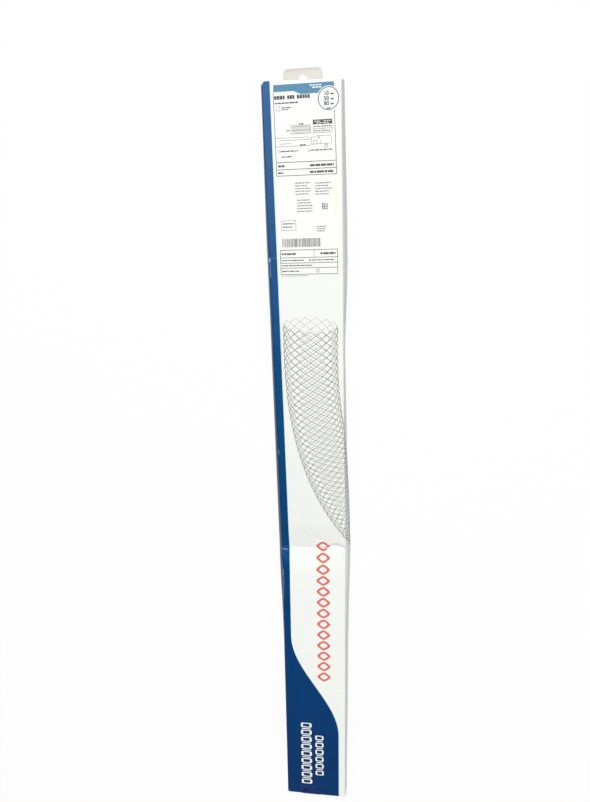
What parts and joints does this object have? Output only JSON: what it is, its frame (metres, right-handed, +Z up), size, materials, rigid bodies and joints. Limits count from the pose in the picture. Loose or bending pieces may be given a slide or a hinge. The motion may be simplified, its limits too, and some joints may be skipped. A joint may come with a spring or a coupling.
{
  "type": "long sealed paperboard carton for a medical device",
  "caption": "Long narrow sealed paperboard carton for a catheter-mounted stent, with a hang tab, a product label and seal tape, kinked at mid length and lying on its back.",
  "frame": {"origin": "on the surface it lies on, under the middle of the bounding box, hang tab included", "axes": "+Z up, out of the printed front; +Y along the carton towards the head end with the label and the hang tab; +X to the right of the print as it is read"},
  "size_m": [0.11, 1.0912, 0.0947],
  "materials": {
    "printed_board": "white coated board with a blue print, satin varnish",
    "grey_board": "uncoated grey-beige board",
    "label_paper": "smooth white label paper",
    "clear_tape": "clear glossy film"
  },
  "bodies": {
    "root": {"carton": "printed_board", "hang_tab": "grey_board", "product_label": "label_paper", "seal_tape": "clear_tape"}
  },
  "joints": []
}
